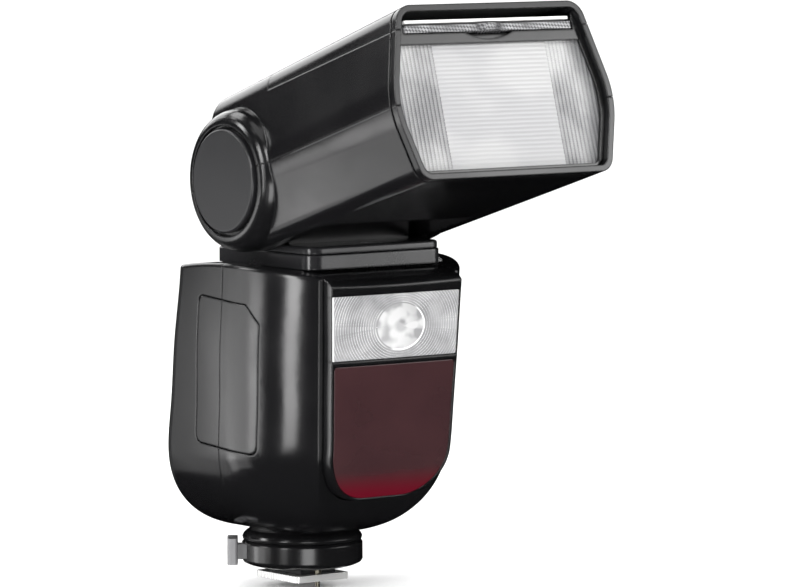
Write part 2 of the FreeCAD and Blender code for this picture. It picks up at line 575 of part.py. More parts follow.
def inside_body():
    can = cyl(8.0, (-17, -11, 28.4), (1, 0, 0), 34)
    node("main_capacitor", can.fuse(cyl(7.2, (-18.2, -11, 28.4), (1, 0, 0), 36.4)))
    cup_y0, cup_y1 = -41.8, -33.0
    cup = Part.makeCone(4.0, 8.4, cup_y1 - cup_y0, Vector(0, cup_y1, 77.0), Vector(0, -1, 0))
    hollow = Part.makeCone(3.0, 7.6, cup_y1 - cup_y0 - 0.6, Vector(0, cup_y1 - 0.6, 77.0), Vector(0, -1, 0))
    flange = prism_xz(rect(-19, 19, 68.6, 84.0), [2] * 4, cup_y0, cup_y0 + 0.8)
    flange = flange.cut(cyl(8.0, (0, cup_y0 - 1, 77.0), (0, 1, 0), 3))
    chip_hole = cyl(2.5, (0, cup_y1 - 3, 77.0), (0, 1, 0), 6)
    node("lamp_reflector", flange.fuse(cup).cut(hollow).cut(chip_hole))
    chip = cyl(2.3, (0, cup_y1 - 1.6, 77.0), (0, 1, 0), 1.2)
    chip = chip.fuse(box(-11, 11, cup_y1 + 0.1, cup_y1 + 1.5, 70.5, 83.5))
    chip = chip.fuse(cyl(2.3, (0, cup_y1 - 0.8, 77.0), (0, 1, 0), 1.2))
    node("lamp_led_board", chip)
    board = box(-22, 22, -31.6, -30.1, 33, 66)
    board = board.fuse(cyl(4.0, (-12, -38.0, 56), (0, 1, 0), 6.5))
    node("main_board", board.fuse(box(2, 14, -34.4, -31.5, 40, 52)))
    bush = ring(BUSH_R, SHAFT_R + 0.05, (0, PIVOT_Y, BUSH_Z0), (0, 0, 1), LAND_Z - BUSH_Z0)
    node("swivel_bush", bush)


# ---------------------------------------------------------------- neck
def neck():
    def pad(z0, z1, inset):
        w, d = NECK_HALF_W - inset, NECK_HALF_D - inset
        outline = rect(-w, w, PIVOT_Y - d, PIVOT_Y + d)
        return prism_xy(outline, [NECK_CORNER] * 4, z0, z1)

    base = softened(pad(BASE_Z0, BASE_Z1, 0), 0.35, lambda e: e.BoundBox.ZMin > BASE_Z1 - 0.01)
    base = base.fuse(cyl(SHAFT_R, (0, PIVOT_Y, SHAFT_Z0), (0, 0, 1), BASE_Z0 - SHAFT_Z0 + 1))
    base = base.fuse(cyl(SHAFT_R + 1.8, (0, PIVOT_Y, SHAFT_Z0), (0, 0, 1), 1.6))
    base = base.cut(cyl(6.5, (0, PIVOT_Y, 80), (0, 0, 1), 30))
    node("neck_base", base)
    cover = softened(pad(COVER_Z0, COVER_Z1, 0.3), 0.8, lambda e: e.BoundBox.ZMin > COVER_Z1 - 0.01)
    tower_hole = box(-21.3, 21.3, PIVOT_Y - 10.3, PIVOT_Y + 10.3, 90, 100)
    node("neck_cover", cover.cut(tower_hole))

    barrel = cyl(BARREL_R, (-BARREL_HALF_W, PIVOT_Y, PIVOT_Z), (1, 0, 0), 2 * BARREL_HALF_W)
    barrel = softened(barrel, 0.8, lambda e: e.BoundBox.XLength < 0.1)
    tower = box(-21, 21, PIVOT_Y - 10, PIVOT_Y + 10, BASE_Z1 + 0.05, PIVOT_Z - 4)
    yoke = barrel.fuse(tower)
    yoke = yoke.cut(cyl(BARREL_R - 2.2, (-21.5, PIVOT_Y, PIVOT_Z), (1, 0, 0), 43))
    yoke = yoke.cut(cyl(AXLE_R + 0.05, (-40, PIVOT_Y, PIVOT_Z), (1, 0, 0), 80))
    yoke = yoke.cut(cyl(6.5, (0, PIVOT_Y, 90), (0, 0, 1), 16))
    node("yoke", yoke)


# ---------------------------------------------------------------- head
def head_section(reach, inset):
    """The head's outline at a distance from the pivot: wide waist, narrower top and bottom."""
    t = (reach - BACK_REACH) / (REACH - BACK_REACH)

    def mix(a, b):
        return a + (b - a) * t

    xt, ht = mix(27.2, 31.4) - 0.75 * inset, mix(25.6, 28.3) - inset
    xw, hw = mix(32.0, 38.5) - inset, SPLIT_H
    xb, hb = mix(30.4, 32.5) - 0.75 * inset, mix(-21.2, -20.4) + inset
    points = [(xt, ht), (xw, hw), (xb, hb), (-xb, hb), (-xw, hw), (-xt, ht)]
    radii = [5.5 - inset, 26.0, 5.0 - inset, 5.0 - inset, 26.0, 5.5 - inset]
    return rounded_wire(points, radii, lambda p: Vector(p[0], -reach, p[1]))


def head_form(inset):
    front, back = (REACH, BACK_REACH + inset) if inset == 0 else (REACH + 6, BACK_REACH + inset)
    form = Part.makeLoft([head_section(back, inset), head_section(front, inset)], True, True)
    r, a = CHEEK_R - inset, math.radians(148)
    tangent = (-r * math.cos(a), r * math.sin(a))
    top_back = (9.0 - inset, 24.8 - inset)
    mid = math.radians(29)
    half_way = Vector(-60, r * math.cos(mid), -r * math.sin(mid))
    arc = Part.Arc(Vector(-60, 0, -r), half_way, Vector(-60, *tangent))
    corners = [tangent, top_back, (6.0 - inset, 40), (-120, 40), (-120, -r), (0, -r)]
    path = [Vector(-60, y, z) for y, z in corners]
    lines = [Part.LineSegment(path[i], path[i + 1]).toShape() for i in range(len(path) - 1)]
    side_view = Part.Face(Part.Wire([arc.toShape()] + lines)).extrude(Vector(120, 0, 0))
    form = form.common(side_view)
    start, rise = 29.6, 6.6 - inset
    profile = [(0, 22.0), (r, 22.0), (r, start)]
    steps = 8
    for i in range(1, steps + 1):
        b = math.radians(90 * i / steps)
        profile.append((r - (r - 16.2 + 0.4 * inset) * (1 - math.cos(b)), start + rise * math.sin(b)))
    profile.append((0, start + rise))
    boss = revolve_x(profile)
    return form.fuse(boss).fuse(mirrored_x(boss)).removeSplitter()


def middle_cut(grow):
    """The space between the cheeks for the neck's barrel, and the pocket under it for the neck pads."""
    w, r = CHEEK_X + grow, BARREL_R + 0.9 + grow
    cut = cyl(r, (-w, 0, 0), (1, 0, 0), 2 * w)
    cut = cut.fuse(box(-w, w, -6.4 - grow, 60, -60, 60))
    return cut.fuse(box(-w, w, -30.6 - grow, 60, -60, -12.5 + grow))


def placed(shape):
    """From the head's own frame to its rest pose."""
    return moved(turned(shape, -TILT_REST, (1, 0, 0)), 0, PIVOT_Y, PIVOT_Z)


def head_shells():
    outer = head_form(0).cut(middle_cut(0))
    inner = head_form(HEAD_WALL).cut(middle_cut(HEAD_WALL))
    shell = outer.cut(inner)
    rim_gap = Part.makeLoft([head_section(82.5, -1), head_section(83.2, -1)], True, True)
    rim_gap = rim_gap.cut(Part.makeLoft([head_section(82.0, 0.8), head_section(83.6, 0.8)], True, True))
    shell = shell.cut(rim_gap)
    for side in (-1, 1):
        x = side * 36.6
        disc_seat = cyl(DISC_R + 1.1, (x, 0, 0), (-side, 0, 0), 1.7)
        shell = shell.cut(disc_seat).cut(cyl(AXLE_R + 1.0, (side * 20, 0, 0), (side, 0, 0), 10))
        post = cyl(8.0, (side * 26.0, 0, 0), (side, 0, 0), 9.0)
        shell = shell.fuse(post.cut(cyl(AXLE_R + 0.02, (side * 20, 0, 0), (side, 0, 0), 13.9)))
    g = 0.08
    low = shell.common(box(-80, 80, -120, 80, -60, SPLIT_H - g))
    high = shell.common(box(-80, 80, -120, 80, SPLIT_H + g, 60)).cut(cover_zone(0))
    cover = shell.common(cover_zone(2 * g))
    for k in (-1.5, -0.5, 0.5, 1.5):
        low = low.cut(box(k * 8.4 - 2.4, k * 8.4 + 2.4, -64.6, -63.6, -24, -17))
    node("head_lower_shell", placed(biggest(low)))
    node("head_upper_shell", placed(biggest(high)))
    node("head_top_cover", placed(biggest(cover)))
    caps = []
    for side in (-1, 1):
        cap = cyl(DISC_R, (side * 35.1, 0, 0), (side, 0, 0), 2.0)
        cap = softened(cap, 0.7, lambda e: abs(e.BoundBox.XMin) > 37.0 and e.BoundBox.XLength < 0.1)
        caps.append(cap)
    node("pivot_caps", placed(group(caps)))


def cover_zone(gap):
    """The part of the head above and ahead of the top cover's seam."""
    return box(-60, 60, -120, -COVER_SEAM_L - gap, COVER_SEAM_H + gap, 60)


def head_window():
    def outline(l0, l1, inset):
        return Part.makeLoft([head_section(l0, inset), head_section(l1, inset)], True, True)

    clear = HEAD_WALL + 0.22
    frame = outline(78.2, 83.4, clear)
    window_hole = outline(70, 95, clear + 1.0).common(box(-60, 60, -100, -60, WINDOW_H0, WINDOW_H1))
    frame = frame.cut(window_hole)
    frame = frame.cut(box(-SLOT_HALF_W, SLOT_HALF_W, -100, -60, SLOT_H0, SLOT_H1))
    notch = cyl(19.5, (0, -100, SLOT_H0 + 17.6), (0, 1, 0), 40)
    frame = frame.cut(notch.common(box(-30, 30, -100, -81.0, SLOT_H0 - 4, SLOT_H0 + 2)))
    seat_band = box(-60, 60, -100, -60, WINDOW_H0 - 0.7, WINDOW_H1 + 0.7)
    frame = frame.cut(outline(WINDOW_L0 - 0.15, WINDOW_L1 + 0.15, clear + 0.3).common(seat_band))
    node("window_frame", placed(biggest(frame)))
    glass_band = box(-60, 60, -100, -60, WINDOW_H0 - 0.55, WINDOW_H1 + 0.55)
    glass = outline(WINDOW_L0, WINDOW_L1, clear + 0.45).common(glass_band)
    node("fresnel_window", placed(glass))
    tray = box(-26.4, 26.4, -78.0, -CARD_L0 + 1.6, 18.9, 20.0)
    tray = tray.fuse(box(-29.7, 29.7, -78.0, -62.0, 18.9, 20.0))
    for x in (-29.4, 29.4):
        tray = tray.fuse(box(x - 0.3, x + 0.3, -78.0, -62.0, 18.9, 22.4))
    node("card_tray", placed(tray))
    panel = sheet(CARD_HALF_W, CARD_L1, 20.9, 22.9)
    lip = cyl(7.8, (0, -CARD_L1 + 6.6, 20.9), (0, 0, 1), 2.0)
    lip = lip.common(box(-20, 20, -CARD_L1 - 2, -CARD_L1 + 4, 20, 23))
    node("wide_panel", placed(panel.fuse(lip)))
    node("bounce_card", placed(sheet(CARD_HALF_W - 0.4, CARD_L1 - 0.2, 23.6, 24.4)))


def sheet(half_w, l1, h0, h1):
    """A flat panel stored in the head, with a narrower tail that stays inside when it is drawn out."""
    outline = [(-half_w, -l1), (half_w, -l1), (half_w, -TAIL_L), (TAIL_HALF_W, -TAIL_L)]
    outline += [(TAIL_HALF_W, -CARD_L0), (-TAIL_HALF_W, -CARD_L0), (-TAIL_HALF_W, -TAIL_L), (-half_w, -TAIL_L)]
    return prism_xy(outline, [0.4, 0.4, 1.0, 0.5, 2.0, 2.0, 0.5, 1.0], h0, h1)


def zoom():
    """Reflector and tube on a carriage that runs on two rails, driven by a motor's screw."""
    front, deep, mouth_w, mouth_h = 76.0, 19.0, 27.0, 14.6
    throat_w, throat_h = 24.0, 5.0

    def rim(half_w, half_h, y):
        corners = rect(-half_w, half_w, -half_h, half_h)
        return rounded_wire(corners, [3.0] * 4, lambda p: Vector(p[0], y, p[1]))

    def trough(grow, extra):
        throat = rim(throat_w + grow, throat_h + grow, -(front - deep) + extra)
        return Part.makeLoft([throat, rim(mouth_w + grow, mouth_h + grow, -front - extra)], True, True)

    bowl = trough(0, 0).cut(trough(-0.9, 0.01).cut(box(-60, 60, -(front - deep + 0.9), 10, -60, 60)))
    tube_l = front - deep + 4.2
    tube_hole = cyl(2.4, (-40, -tube_l, 0), (1, 0, 0), 80)
    node("reflector", placed(bowl.cut(tube_hole)))
    glass = cyl(2.1, (-26.4, -tube_l, 0), (1, 0, 0), 52.8)
    node("flash_tube", placed(glass))
    boots = [cyl(3.4, (side * 26.6, -tube_l, 0), (side, 0, 0), 2.4) for side in (-1, 1)]
    node("tube_boots", placed(group(boots)))

    def along(r, x, h, l1=90.0, length=80.0):
        """A round bar or hole that runs back from reach l1, parallel to the light's axis."""
        return cyl(r, (x, -l1, h), (0, 1, 0), length)

    plate_y = -(front - deep - 0.15)
    plate = box(-25, 25, plate_y, plate_y + 2.25, -8.5, 8.5)
    for x in (-RAIL_X, RAIL_X):
        plate = plate.fuse(box(x - 2.8, x + 2.8, plate_y, plate_y + 6.85, 6.0, RAIL_H + 2.0))
        plate = plate.cut(along(RAIL_R + 0.07, x, RAIL_H))
    nut = box(-6, 6, plate_y, plate_y + 6.85, 8.0, SCREW_H + 2.0)
    node("zoom_carriage", placed(plate.fuse(nut).cut(along(1.6, 0, SCREW_H))))
    rails = [along(RAIL_R, x, RAIL_H, 55.6, 55.6 - ZOOM_PLATE_L) for x in (-RAIL_X, RAIL_X)]
    node("zoom_rails", placed(group(rails)))
    core = along(1.1, 0, SCREW_H, 56.0, 56.0 - ZOOM_PLATE_L)
    for k in range(17):
        thread = Part.makeCone(1.45, 1.1, 0.6, Vector(0, -55.5 + k * SCREW_PITCH, SCREW_H), Vector(0, 1, 0))
        core = core.fuse(thread)
    node("zoom_screw", placed(core))
    mount = box(-26.5, 26.5, -ZOOM_PLATE_L - 1.3, -ZOOM_PLATE_L, 8.4, SCREW_H + 5.0)
    for x in (-RAIL_X, RAIL_X):
        mount = mount.cut(along(RAIL_R, x, RAIL_H))
    motor = cyl(5.4, (0, -ZOOM_PLATE_L, SCREW_H), (0, 1, 0), 9.0).fuse(mount)
    node("zoom_motor", placed(motor.cut(along(1.6, 0, SCREW_H, 90.0, 93.0 - ZOOM_PLATE_L))))


def tilt_parts():
    axle = ring(AXLE_R, 3.4, (-33.8, 0, 0), (1, 0, 0), 67.6)
    node("tilt_axle", placed(axle))


def main():
    foot()
    shells()
    controls()
    side_parts()
    battery()
    inside_body()
    neck()
    head_shells()
    head_window()
    zoom()
    tilt_parts()
    os.makedirs("parts", exist_ok=True)
    for name, shape in NODES.items():
        shape.exportStep(f"parts/{name}.step")


main()
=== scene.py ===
"""Looks of the speedlight flash: materials, the finer optical pieces, the studio and the camera."""

import json
import math

import bpy
from mathutils import Matrix, Vector
from mathutils.bvhtree import BVHTree


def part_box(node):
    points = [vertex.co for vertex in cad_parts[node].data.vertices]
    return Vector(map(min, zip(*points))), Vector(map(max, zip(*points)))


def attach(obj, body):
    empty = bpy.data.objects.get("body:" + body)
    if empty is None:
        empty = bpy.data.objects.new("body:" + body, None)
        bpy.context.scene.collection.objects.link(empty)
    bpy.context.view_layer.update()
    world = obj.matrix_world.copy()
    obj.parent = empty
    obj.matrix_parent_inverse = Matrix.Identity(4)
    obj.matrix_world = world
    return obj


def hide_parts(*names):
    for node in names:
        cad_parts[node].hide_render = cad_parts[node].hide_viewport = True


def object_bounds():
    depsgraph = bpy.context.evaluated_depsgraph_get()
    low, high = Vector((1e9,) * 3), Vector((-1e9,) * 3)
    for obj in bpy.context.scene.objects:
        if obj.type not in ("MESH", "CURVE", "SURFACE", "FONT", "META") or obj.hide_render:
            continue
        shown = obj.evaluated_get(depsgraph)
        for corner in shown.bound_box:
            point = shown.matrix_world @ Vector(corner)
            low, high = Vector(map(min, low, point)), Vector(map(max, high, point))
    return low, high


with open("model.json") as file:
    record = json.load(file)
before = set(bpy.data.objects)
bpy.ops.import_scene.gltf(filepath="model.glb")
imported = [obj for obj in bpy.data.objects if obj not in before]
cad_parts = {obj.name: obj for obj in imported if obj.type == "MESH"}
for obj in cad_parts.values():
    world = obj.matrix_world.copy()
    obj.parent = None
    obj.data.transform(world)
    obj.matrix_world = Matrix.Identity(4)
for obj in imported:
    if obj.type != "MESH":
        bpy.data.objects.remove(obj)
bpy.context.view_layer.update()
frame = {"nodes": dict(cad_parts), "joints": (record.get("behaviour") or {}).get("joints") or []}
NODES = frame["nodes"]
JOINTS = {j["name"]: j for j in frame["joints"]}
MM = 0.001

# ---------------------------------------------------------------- sizes, in millimetres and degrees
VIEW_AZIMUTH, VIEW_ELEVATION, VIEW_ROLL = 36.22, 4.59, -0.2
AIM, VIEW_DISTANCE = (0, -8.0, 90.0), 1580.6
SENSOR_WIDTH, LENS_LENGTH, LENS_SHIFT = 36.0, 253.26, (0.0957, -0.0327)
EYE_X, EYE_Z, EYE_RX, EYE_RZ = 1.5, 75.9, 8.8, 7.0
GROOVE_PITCH, GROOVE_DEPTH = 0.86, 0.24
DOME_LIFT, DOME_STEP = 0.9, 0.30  # how far the eye's dome and its step stand forward, before halving
LAMP_THICK = 2.2
LAMP_GRID = (360, 150)  # columns and rows of vertices
RIB_START, RIB_PITCH, BEAD_PITCH, LEVEL_PITCH = 19.6, 1.3, 0.62, 1.2
RIB_DEPTH, LEVEL_DEPTH = 0.30, 0.05
WINDOW_GRID = (460, 260)
PRISM_CELL, PRISM_SLANT = (0.9, 0.9, 0.6), 38.0
CROWN_FRONT, CROWN_BACK = -36.0, 20.0  # where the bowed side walls begin and end
PAINTED_GLOW_FROM, PAINTED_GLOW_TO = 0.5, 9.0  # the red window's painted light, brighter red above its lower edge

# ---------------------------------------------------------------- the head's own frame
TILT = math.radians(16.25)
PIVOT = Vector(JOINTS["head_tilt"]["pos_m"])
HEAD = Matrix.Translation(PIVOT) @ Matrix.Rotation(-TILT, 4, "X")


# ---------------------------------------------------------------- shader helpers
class Shader:
    """A node material with short calls for the nodes used here."""

    def __init__(self, name):
        self.mat = bpy.data.materials.new(name)
        self.mat.use_nodes = True
        self.tree = self.mat.node_tree
        self.bsdf = self.tree.nodes["Principled BSDF"]
        self.coord = self.node("ShaderNodeTexCoord").outputs["Object"]

    def node(self, kind, **values):
        made = self.tree.nodes.new(kind)
        for key, value in values.items():
            if key in made.inputs:
                made.inputs[key].default_value = value
            else:
                setattr(made, key, value)
        return made

    def link(self, a, b):
        self.tree.links.new(a, b)

    def set(self, **values):
        for key, value in values.items():
            socket = self.bsdf.inputs[key.replace("_", " ")]
            if hasattr(value, "is_linked") or hasattr(value, "links"):
                self.link(value, socket)
            else:
                socket.default_value = value

    def math(self, op, a, b=None, c=None):
        made = self.node("ShaderNodeMath", operation=op)
        for i, v in enumerate((a, b, c)):
            if v is None:
                continue
            if isinstance(v, (int, float)):
                made.inputs[i].default_value = v
            else:
                self.link(v, made.inputs[i])
        return made.outputs[0]

    def mapped(self, matrix=None, scale=(1, 1, 1)):
        """Object coordinates, turned into another frame and scaled."""
        mapping = self.node("ShaderNodeMapping", vector_type="POINT")
        if matrix is None:
            self.link(self.coord, mapping.inputs["Vector"])
            mapping.inputs["Scale"].default_value = scale
            return mapping.outputs["Vector"]
        loc, rot, _ = matrix.inverted().decompose()
        mapping.inputs["Location"].default_value = loc
        mapping.inputs["Rotation"].default_value = rot.to_euler("XYZ")
        self.link(self.coord, mapping.inputs["Vector"])
        sized = self.node("ShaderNodeMapping", vector_type="POINT")
        sized.inputs["Scale"].default_value = scale
        self.link(mapping.outputs["Vector"], sized.inputs["Vector"])
        return sized.outputs["Vector"]

    def attribute(self, name):
        return self.node("ShaderNodeAttribute", attribute_name=name).outputs["Fac"]

    def noise(self, scale, detail=2.0, vector=None, rough=0.5):
        made = self.node("ShaderNodeTexNoise", Scale=scale, Detail=detail, Roughness=rough)
        self.link(vector or self.coord, made.inputs["Vector"])
        return made.outputs["Fac"]

    def range(self, value, low, high, out_low, out_high, smooth=False):
        made = self.node("ShaderNodeMapRange")
        if smooth:
            made.interpolation_type = "SMOOTHSTEP"
        self.link(value, made.inputs["Value"])
        for key, v in (("From Min", low), ("From Max", high), ("To Min", out_low), ("To Max", out_high)):
            made.inputs[key].default_value = v
        return made.outputs["Result"]

    def mix(self, fac, a, b):
        made = self.node("ShaderNodeMix", data_type="RGBA")
        self.link(fac, made.inputs["Factor"])
        for socket, v in ((made.inputs[6], a), (made.inputs[7], b)):
            if isinstance(v, tuple):
                socket.default_value = (*v, 1)
            else:
                self.link(v, socket)
        return made.outputs[2]

    def rounded(self, radius_mm, samples=6):
        """A normal that rounds sharp edges over."""
        made = self.node("ShaderNodeBevel", samples=samples)
        made.inputs["Radius"].default_value = radius_mm * MM
        return made.outputs["Normal"]

    def split(self, vector):
        """The X, Y and Z parts of a vector."""
        made = self.node("ShaderNodeSeparateXYZ")
        self.link(vector, made.inputs[0])
        return made.outputs["X"], made.outputs["Y"], made.outputs["Z"]

    def direction(self, *parts):
        """A unit vector from its three parts."""
        joined = self.node("ShaderNodeCombineXYZ")
        for socket, part in zip(joined.inputs, parts):
            self.link(part, socket)
        unit = self.node("ShaderNodeVectorMath", operation="NORMALIZE")
        self.link(joined.outputs[0], unit.inputs[0])
        return unit.outputs["Vector"]

    def crowned(self, normal, amount):
        """Side walls that bow out a little from front to back."""
        x, y, z = self.split(normal)
        along = self.split(self.coord)[1]
        share = self.range(self.math("ABSOLUTE", x), 0.90, 0.99, 0.0, amount, smooth=True)
        place = self.range(along, CROWN_FRONT * MM, CROWN_BACK * MM, -0.55, 1.0)
        lean = self.math("MULTIPLY", place, share)
        return self.direction(x, self.math("ADD", y, lean), z)

    def levelled(self, normal):
        """Takes the faint lean out of upright walls, so they read straight from top to bottom."""
        x, y, z = self.split(normal)
        share = self.range(self.math("ABSOLUTE", z), 0.06, 0.24, 0.0, 1.0, smooth=True)
        return self.direction(x, y, self.math("MULTIPLY", z, share))

    def lifted(self, normal, amount):
        """Upright walls with a little draft, so they face slightly up."""
        x, y, z = self.split(normal)
        steep = self.range(self.math("ABSOLUTE", z), 0.0, 0.5, amount, 0.0)
        return self.direction(x, y, self.math("ADD", z, steep))

    def bump(self, height, strength, distance_mm, normal=None):
        made = self.node("ShaderNodeBump", Strength=strength)
        made.inputs["Distance"].default_value = distance_mm * MM
        self.link(height, made.inputs["Height"])
        if normal is not None:
            self.link(normal, made.inputs["Normal"])
        return made.outputs["Normal"]

    def edge_mask(self, rounded):
        """1 near sharp edges, 0 elsewhere."""
        flat = self.node("ShaderNodeNewGeometry").outputs["Normal"]
        dot = self.node("ShaderNodeVectorMath", operation="DOT_PRODUCT")
        self.link(rounded, dot.inputs[0])
        self.link(flat, dot.inputs[1])
        return self.range(dot.outputs["Value"], 0.995, 0.90, 0.0, 1.0)


def moulded(name, base, rough, grain=0.25, grain_scale=2600.0, edge=0.35, wear=0.35,
            specular=0.5, crown=0.0, lift=0.0):
    """Moulded plastic: fine spark-eroded grain, uneven sheen, softly rounded and faintly rubbed edges."""
    s = Shader(name)
    rounded = s.rounded(edge)
    if crown:
        rounded = s.crowned(s.levelled(rounded), crown)
    if lift:
        rounded = s.lifted(rounded, lift)
    cloud = s.noise(38.0, 3.0)
    speck = s.noise(grain_scale, 2.0)
    broad = s.noise(9.0, 2.0)
    scuffs = s.range(s.noise(420.0, 4.0), 0.35, 0.75, 0.15, 1.0)
    edge_fac = s.math("MULTIPLY", s.edge_mask(rounded), scuffs)
    light = tuple(min(1.0, c * 2.4 + 0.012) for c in base)
    tone = s.mix(s.range(broad, 0.3, 0.7, 0.0, 0.35), base, tuple(c * 1.35 for c in base))
    colour = s.mix(s.math("MULTIPLY", edge_fac, wear), tone, light)
    haze = s.range(cloud, 0.3, 0.7, rough - 0.035, rough + 0.045)
    roughness = s.math("ADD", haze, s.math("MULTIPLY", speck, 0.05))
    s.set(Base_Color=colour, Roughness=roughness, Normal=s.bump(speck, grain, 0.03, rounded))
    s.set(Specular_IOR_Level=specular)
    return s.mat


def polished(name, base, rough=0.12, edge=0.3, coat=0.4):
    """Polished plastic with faint handling haze."""
    s = Shader(name)
    rounded = s.rounded(edge)
    haze = s.noise(90.0, 4.0, rough=0.6)
    swirl = s.noise(1400.0, 2.0)
    roughness = s.range(haze, 0.4, 0.8, rough, rough + 0.09)
    colour = s.mix(s.range(haze, 0.3, 0.8, 0.0, 0.5), base, tuple(c * 1.5 + 0.002 for c in base))
    s.set(Base_Color=colour, Roughness=roughness, Coat_Weight=coat, Coat_Roughness=0.05)
    s.set(Normal=s.bump(swirl, 0.04, 0.01, rounded))
    return s.mat


def metal(name, base, rough=0.28, grain=(1600.0, 60.0, 60.0), edge=0.2, wear=0.4, metallic=0.85):
    """Drawn or brushed metal: fine lines along one direction, a little tarnish, bright edges."""
    s = Shader(name)
    rounded = s.rounded(edge)
    lines = s.noise(1.0, 3.0, s.mapped(scale=grain))
    tarnish = s.noise(120.0, 4.0, rough=0.6)
    colour = s.mix(s.range(tarnish, 0.35, 0.75, 0.0, 0.45), base, tuple(c * 0.72 for c in base))
    rubbed = tuple(min(1.0, c * 1.25) for c in base)
    colour = s.mix(s.math("MULTIPLY", s.edge_mask(rounded), wear), colour, rubbed)
    s.set(Base_Color=colour, Metallic=metallic)
    s.set(Roughness=s.range(lines, 0.2, 0.8, rough - 0.07, rough + 0.12))
    s.set(Normal=s.bump(lines, 0.05, 0.01, rounded))
    return s.mat


def clear(name, tint=(0.93, 0.94, 0.94), rough=0.06):
    """Clear glass or acrylic with a faint haze."""
    s = Shader(name)
    rounded = s.rounded(0.15)
    haze = s.noise(160.0, 3.0)
    colour = s.mix(s.range(haze, 0.3, 0.8, 0.0, 1.0), tint, tuple(c * 0.97 for c in tint))
    s.set(Base_Color=colour, IOR=1.49, Transmission_Weight=1.0)
    s.set(Roughness=s.range(haze, 0.3, 0.8, rough, rough + 0.05), Normal=rounded)
    return s.mat


def paint(node, material):
    """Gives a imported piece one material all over."""
    data = NODES[node].data
    data.materials.clear()
    data.materials.append(material)
    for polygon in data.polygons:
        polygon.material_index = 0


# ---------------------------------------------------------------- materials
BODY_BLACK = (0.0042, 0.0042, 0.0046)
black = moulded("moulded_black", BODY_BLACK, 0.17, grain=0.12, edge=0.6)
shell_black = moulded("shell_black", BODY_BLACK, 0.15, grain=0.12, edge=0.7, crown=0.09)
black_fine = moulded("moulded_black_fine", (0.010, 0.010, 0.011), 0.30, grain=0.12, edge=0.25)
collar_black = moulded("collar_black", (0.0042, 0.0042, 0.0045), 0.17, grain=0.10, edge=0.5)
black_matt = moulded("moulded_black_matt", (0.012, 0.012, 0.013), 0.55, grain=0.5, grain_scale=1500.0)
neck_grey = moulded("neck_black", (0.012, 0.012, 0.013), 0.22, grain=0.15, edge=0.7, lift=0.15)
gloss = polished("gloss_black", (0.0038, 0.0038, 0.0042), 0.16, edge=0.9)
rubber = moulded("key_rubber", (0.016, 0.016, 0.018), 0.62, grain=0.6, grain_scale=1800.0,
                 wear=0.5, specular=0.35)
lever_grey = moulded("lever_grey", (0.17, 0.17, 0.175), 0.34, grain=0.2, wear=0.6)
switch_grey = moulded("release_grey", (0.045, 0.045, 0.048), 0.42, grain=0.35)
shoe_metal = metal("shoe_nickel", (0.72, 0.72, 0.71), 0.24, (60.0, 1400.0, 60.0), metallic=0.55)
zinc = metal("zinc_steel", (0.62, 0.62, 0.63), 0.32)
pin_metal = metal("contact_gilt", (0.15, 0.14, 0.11), 0.22, (300.0, 300.0, 300.0))
nylon = moulded("swivel_nylon", (0.55, 0.54, 0.50), 0.5, grain=0.3)
card_white = moulded("card_white", (0.80, 0.80, 0.79), 0.55, grain=0.3, grain_scale=900.0, wear=0.0)
tube_glass = clear("tube_quartz", rough=0.03)
display = polished("display_glass", (0.16, 0.18, 0.15), 0.16)
wrap = polished("cell_wrap", (0.03, 0.13, 0.28), 0.2)


def panel_material():
    """The stored wide panel: clear acrylic full of small prisms, which read as pale hatching."""
    s = Shader("wide_panel_prisms")
    rounded = s.rounded(0.2)
    size = tuple(1.0 / (side * MM) for side in PRISM_CELL)
    cells = s.node("ShaderNodeTexChecker", Scale=1.0)
    slanted = HEAD @ Matrix.Rotation(math.radians(PRISM_SLANT), 4, "Y")
    s.link(s.mapped(slanted, size), cells.inputs["Vector"])
    haze = s.noise(220.0, 3.0)
    lit = s.math("MULTIPLY", cells.outputs["Fac"], s.range(haze, 0.35, 0.65, 0.2, 0.8))
    s.set(Base_Color=s.mix(lit, (0.055, 0.055, 0.058), (0.40, 0.40, 0.41)))
    s.set(IOR=1.49, Transmission_Weight=0.12, Roughness=s.range(haze, 0.3, 0.8, 0.16, 0.28))
    s.set(Normal=s.bump(cells.outputs["Fac"], 0.3, 0.06, rounded))
    return s.mat


def red_material():
    """Dark red filter over black, with painted light: brighter, glowing red along its lower edge."""
    s = Shader("red_filter")
    rounded = s.rounded(0.45)
    height = s.split(s.coord)[2]
    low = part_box("red_window")[0].z
    # painted highlight: brighter red near the lower edge of the red window
    painted_glow = s.range(height, low + PAINTED_GLOW_FROM * MM, low + PAINTED_GLOW_TO * MM, 1.0, 0.0, smooth=True)
    haze = s.noise(60.0, 3.0)
    deep = s.mix(s.range(haze, 0.3, 0.7, 0.0, 1.0), (0.028, 0.0125, 0.0140), (0.034, 0.0145, 0.0160))
    s.set(Base_Color=s.mix(painted_glow, deep, (0.080, 0.0030, 0.009)), Specular_IOR_Level=0.45)
    s.set(Roughness=s.range(haze, 0.3, 0.8, 0.10, 0.17), Coat_Weight=0.3, Coat_Roughness=0.06)
    s.set(Normal=s.bump(s.noise(900.0, 2.0), 0.03, 0.01, rounded))
    return s.mat


def board_material():
    """Circuit board: green mask over a maze of copper tracks."""
    s = Shader("circuit_board")
    cells = s.node("ShaderNodeTexVoronoi", Scale=520.0, feature="DISTANCE_TO_EDGE")
    s.link(s.coord, cells.inputs["Vector"])
    tracks = s.range(cells.outputs["Distance"], 0.04, 0.09, 1.0, 0.0)
    s.set(Base_Color=s.mix(tracks, (0.012, 0.075, 0.030), (0.03, 0.14, 0.05)), Roughness=0.35)
    s.set(Normal=s.bump(tracks, 0.3, 0.05, s.rounded(0.1)))
    return s.mat


